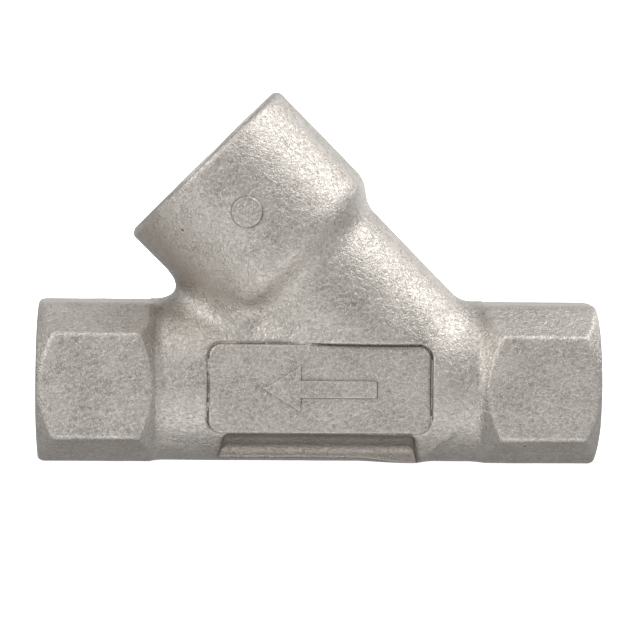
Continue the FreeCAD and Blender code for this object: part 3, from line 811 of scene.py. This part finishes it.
def floor_and_backdrop():
    """A pale floor that curves up behind the object, in metres."""
    profile = [(-FLOOR_REACH, 0.0), (CURVE_START, 0.0)]
    for angle in np.linspace(0, math.pi / 2, 13)[1:]:
        profile.append((CURVE_START + CURVE_RADIUS * math.sin(angle),
                        CURVE_RADIUS - CURVE_RADIUS * math.cos(angle)))
    profile.append((CURVE_START + CURVE_RADIUS, FLOOR_REACH))
    points = [(x, y, z - FLOOR_GAP) for y, z in profile for x in (-FLOOR_REACH, FLOOR_REACH)]
    faces = [(2 * i, 2 * i + 1, 2 * i + 3, 2 * i + 2) for i in range(len(profile) - 1)]
    mesh = bpy.data.meshes.new("floor")
    mesh.from_pydata(points, [], faces)
    for polygon_face in mesh.polygons:
        polygon_face.use_smooth = True
    floor = bpy.data.objects.new("floor", mesh)
    bpy.context.scene.collection.objects.link(floor)
    shader = Shader("pale_floor", Roughness=0.9, Specular_IOR_Level=0.0,
                    Emission_Color=(1, 1, 1, 1), Emission_Strength=FLOOR_GLOW)
    speckle = shader.noise((400, 400, 400), detail=2.0)
    shader.link(shader.mixed(speckle, (0.88, 0.88, 0.88, 1), (0.90, 0.90, 0.90, 1)), "Base Color")
    mesh.materials.append(shader.material)
    floor.visible_glossy = False


def towards(azimuth, elevation):
    """A direction: azimuth 0 is in front of the object and 90 at the inlet's end."""
    a, e = math.radians(azimuth), math.radians(elevation)
    return Vector((math.sin(a) * math.cos(e), -math.cos(a) * math.cos(e), math.sin(e)))


def surroundings(base, glows):
    """A plain grey room with soft bright or dark areas."""
    world = bpy.data.worlds.new("studio")
    world.use_nodes = True
    tree = world.node_tree
    place = tree.nodes.new("ShaderNodeTexCoord").outputs["Generated"]

    def maths(operation, a, b):
        made = tree.nodes.new("ShaderNodeMath")
        made.operation = operation
        tree.links.new(a, made.inputs[0])
        if isinstance(b, float):
            made.inputs[1].default_value = b
        else:
            tree.links.new(b, made.inputs[1])
        return made.outputs[0]

    total = None
    for azimuth, elevation, sharpness, strength in glows:
        facing = tree.nodes.new("ShaderNodeVectorMath")
        facing.operation = "DOT_PRODUCT"
        tree.links.new(place, facing.inputs[0])
        facing.inputs[1].default_value = towards(azimuth, elevation)
        glow = maths("POWER", maths("MAXIMUM", facing.outputs["Value"], 0.0), float(sharpness))
        glow = maths("MULTIPLY", glow, float(strength))
        total = maths("ADD", glow, base) if total is None else maths("ADD", glow, total)
    tree.links.new(maths("MAXIMUM", total, DARKEST), tree.nodes["Background"].inputs[0])
    bpy.context.scene.world = world


floor_and_backdrop()
surroundings(ROOM_LEVEL, GLOWS)

# ---- camera -----------------------------------------------------------------------------------
FOCAL_LENGTH = 149.44
CAMERA_DISTANCE = 409.0
CAMERA_AZIMUTH = -2.951
CAMERA_ELEVATION = 3.524
CAMERA_ROLL = math.radians(0.665)
AIM_RIGHT = 0.443
AIM_UP = 9.291

back = towards(CAMERA_AZIMUTH, CAMERA_ELEVATION)
level = back.to_track_quat("Z", "Y")
aim = Vector((0, 0, AXIS_HEIGHT)) + level @ Vector((AIM_RIGHT, AIM_UP, 0))
camera_data = bpy.data.cameras.new("camera")
camera_data.lens = FOCAL_LENGTH
camera = bpy.data.objects.new("camera", camera_data)
camera.location = (aim + back * CAMERA_DISTANCE) * MM
camera.rotation_mode = "QUATERNION"
camera.rotation_quaternion = level @ Matrix.Rotation(CAMERA_ROLL, 3, "Z").to_quaternion()
camera_data.clip_start = 0.01
camera_data.clip_end = 20
bpy.context.scene.collection.objects.link(camera)
bpy.context.scene.camera = camera
bpy.context.scene.view_settings.view_transform = "Standard"
